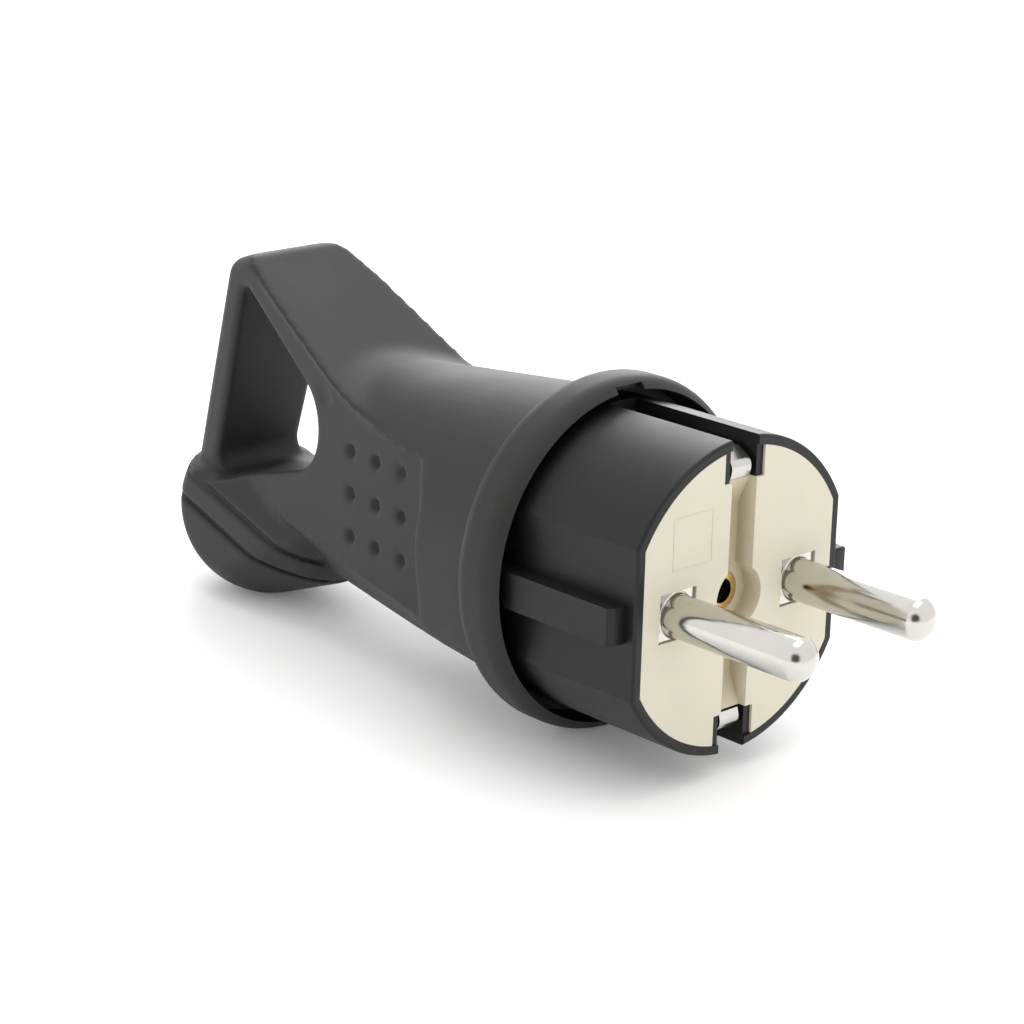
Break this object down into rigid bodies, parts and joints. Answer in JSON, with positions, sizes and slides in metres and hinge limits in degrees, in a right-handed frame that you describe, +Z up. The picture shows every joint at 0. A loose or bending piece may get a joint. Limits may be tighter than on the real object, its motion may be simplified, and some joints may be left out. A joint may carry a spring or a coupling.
{
  "type": "type f plug",
  "caption": "Mains plug with round pins, side earth contacts and a ribbed barrel, in a rubber body that closes into a pull handle with a rounded cable outlet behind.",
  "frame": {"origin": "on the plug's engagement face, midway between the pins", "axes": "+X the way the pins point, Y from pin to pin, +Z up towards the handle's finger loop"},
  "size_m": [0.1115, 0.0412, 0.0452],
  "materials": {
    "handle_rubber": "matt dark grey moulded rubber",
    "housing_plastic": "satin near-black moulding",
    "carrier_plastic": "satin warm ivory moulding",
    "nickel_plate": "polished nickel on brass",
    "spring_strip": "nickel-plated spring strip",
    "zinc_steel": "zinc-plated steel",
    "yellow_brass": "yellow passivated"
  },
  "bodies": {
    "root": {"handle_body": "handle_rubber", "plug_housing": "housing_plastic", "contact_carrier": "carrier_plastic", "pin_left": "nickel_plate", "pin_right": "nickel_plate", "terminal_screw_left": "zinc_steel", "terminal_screw_right": "zinc_steel", "wire_guard_left": "zinc_steel", "wire_guard_right": "zinc_steel", "earth_strap": "spring_strip", "earth_terminal": "yellow_brass", "earth_rivet": "yellow_brass", "earth_terminal_screw": "zinc_steel", "earth_wire_guard": "zinc_steel", "fixing_screw": "yellow_brass", "fixing_nut": "zinc_steel", "cord_clamp_bar": "housing_plastic", "cord_clamp_screw_left": "zinc_steel", "cord_clamp_screw_right": "zinc_steel"}
  },
  "joints": []
}
